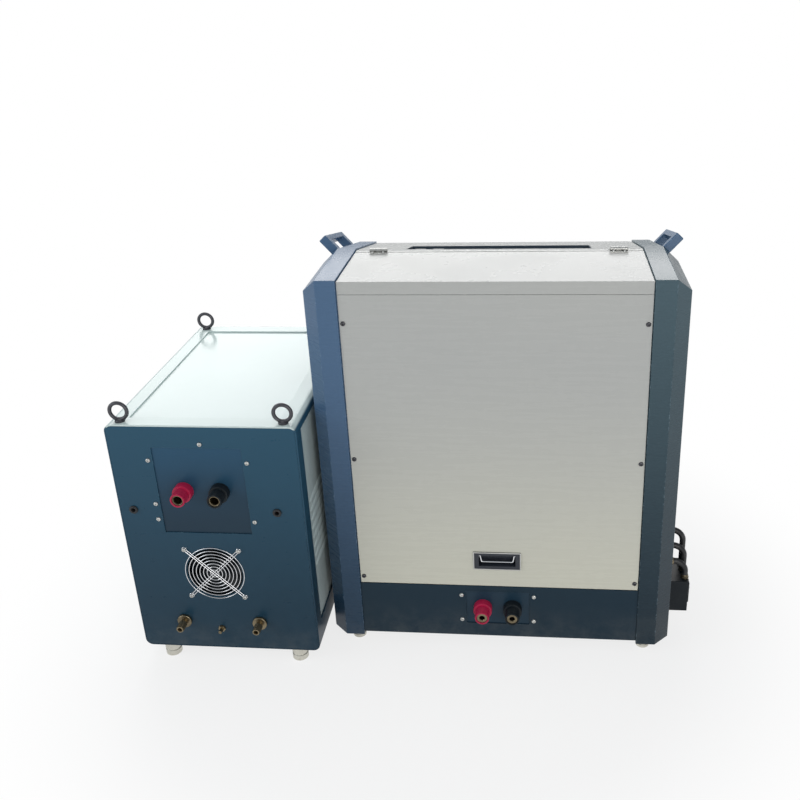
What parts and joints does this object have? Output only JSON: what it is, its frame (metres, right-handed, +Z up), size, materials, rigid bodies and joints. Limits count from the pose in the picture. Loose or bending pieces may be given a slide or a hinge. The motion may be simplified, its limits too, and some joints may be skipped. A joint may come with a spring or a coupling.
{
  "type": "induction heating machine",
  "caption": "Floor-standing power cabinet with bevelled side frames, ridged top, carrying handles and side breaker, beside a smaller heating station with sockets, fan and lifting eyes",
  "frame": {"origin": "on the floor, under the middle of the box round the whole set, lifting eyes, sockets and output bars included", "axes": "+X to the right seen from the pictured side, from the heating station to the power cabinet, +Y from the pictured side to the control side, +Z up"},
  "size_m": [1.0794, 0.579, 0.7901],
  "materials": {
    "frame_blue": "satin dark blue-grey paint",
    "panel_cream": "light warm grey paint",
    "plinth_blue": "dark blue-grey paint",
    "station_blue": "satin teal-blue paint",
    "station_light": "pale paint",
    "tray_slate": "dark slate paint",
    "dish_black": "moulded black",
    "bakelite": "dark insulating sheet",
    "red_plastic": "moulded red",
    "green_plastic": "moulded green",
    "black_plastic": "moulded black",
    "grey_plastic": "moulded grey",
    "board_green": "circuit board",
    "cable_black": "black sheath",
    "zinc_steel": "zinc plated",
    "foot_steel": "turned",
    "bright_chrome": "bright",
    "brass_metal": "turned brass",
    "copper_metal": "copper",
    "alu": "plain",
    "core_steel": "varnished laminations"
  },
  "bodies": {
    "machine": {"side_frame_left": "frame_blue", "side_frame_right": "frame_blue", "side_covers": "frame_blue", "base_pan": "plinth_blue", "main_feet": "foot_steel", "service_panel": "panel_cream", "hinge_leaves": "zinc_steel", "hinge_pins": "zinc_steel", "pull_dish": "dish_black", "top_cover": "panel_cream", "top_tray": "tray_slate", "carry_handles": "frame_blue", "control_panel": "panel_cream", "back_panel": "panel_cream", "panel_meters": "black_plastic", "control_bezels": "bright_chrome", "breaker_body": "grey_plastic", "jumper_cables": "cable_black", "cable_glands": "brass_metal", "chassis_plate": "zinc_steel", "cold_plate": "alu", "igbt_modules": "grey_plastic", "dc_capacitors": "alu", "copper_bars": "copper_metal", "contactor": "grey_plastic", "control_board": "board_green", "choke_core": "core_steel", "choke_winding": "copper_metal", "socket_plates": "bakelite", "red_sockets": "red_plastic", "black_sockets": "black_plastic", "socket_inserts": "brass_metal", "panel_screws": "zinc_steel", "fan_guards": "bright_chrome", "fan_housings": "black_plastic", "station_case": "station_blue", "station_front": "station_blue", "station_back": "station_blue", "station_panels": "station_light", "station_feet": "foot_steel", "eye_bolts": "zinc_steel", "hose_barbs": "brass_metal", "grommets": "zinc_steel", "earth_stud": "brass_metal", "transformer_core": "core_steel", "transformer_windings": "copper_metal", "capacitor_bank": "grey_plastic", "output_busbars": "copper_metal"},
    "lid": {"access_lid": "panel_cream", "lid_knuckles": "zinc_steel"},
    "bail": {"pull_bail": "bright_chrome"},
    "toggle": {"breaker_toggle": "black_plastic"},
    "start": {"start_button": "green_plastic"},
    "stop": {"stop_button": "red_plastic"},
    "estop": {"emergency_stop": "red_plastic"},
    "knob": {"power_knob": "black_plastic"},
    "selector": {"mode_switch": "black_plastic"},
    "main_rotor": {"main_fan_rotor": "black_plastic"},
    "station_rotor": {"station_fan_rotor": "black_plastic"}
  },
  "joints": [
    {"name": "access_lid_hinge", "type": "hinge", "parent": "machine", "child": "lid", "pos_m": [0.159, -0.01475, 0.769], "axis": [-1, 0, 0], "range_deg": [0, 100]},
    {"name": "pull_bail_hinge", "type": "hinge", "parent": "machine", "child": "bail", "pos_m": [0.159, -0.185, 0.2144], "axis": [-1, 0, 0], "range_deg": [0, 75]},
    {"name": "breaker_toggle_hinge", "type": "hinge", "parent": "machine", "child": "toggle", "pos_m": [0.5261, -0.0845, 0.085], "axis": [0, -1, 0], "range_deg": [0, 50]},
    {"name": "start_button_press", "type": "slide", "parent": "machine", "child": "start", "axis": [0, -1, 0], "range_m": [0, 0.003], "stiffness_N_per_m": 400, "springref_m": -0.001},
    {"name": "stop_button_press", "type": "slide", "parent": "machine", "child": "stop", "axis": [0, -1, 0], "range_m": [0, 0.003], "stiffness_N_per_m": 400, "springref_m": -0.001},
    {"name": "emergency_stop_press", "type": "slide", "parent": "machine", "child": "estop", "axis": [0, -1, 0], "range_m": [0, 0.004]},
    {"name": "power_knob_turn", "type": "hinge", "parent": "machine", "child": "knob", "pos_m": [0.009, 0.2125, 0.635], "axis": [0, -1, 0], "range_deg": [0, 300]},
    {"name": "mode_switch_turn", "type": "hinge", "parent": "machine", "child": "selector", "pos_m": [-0.036, 0.2125, 0.635], "axis": [0, -1, 0], "range_deg": [-45, 45]},
    {"name": "main_fan_spin", "type": "hinge", "parent": "machine", "child": "main_rotor", "pos_m": [0.159, 0.1925, 0.4704], "axis": [0, 1, 0], "continuous": true},
    {"name": "station_fan_spin", "type": "hinge", "parent": "machine", "child": "station_rotor", "pos_m": [-0.373, -0.2355, 0.20644], "axis": [0, 1, 0], "continuous": true}
  ]
}
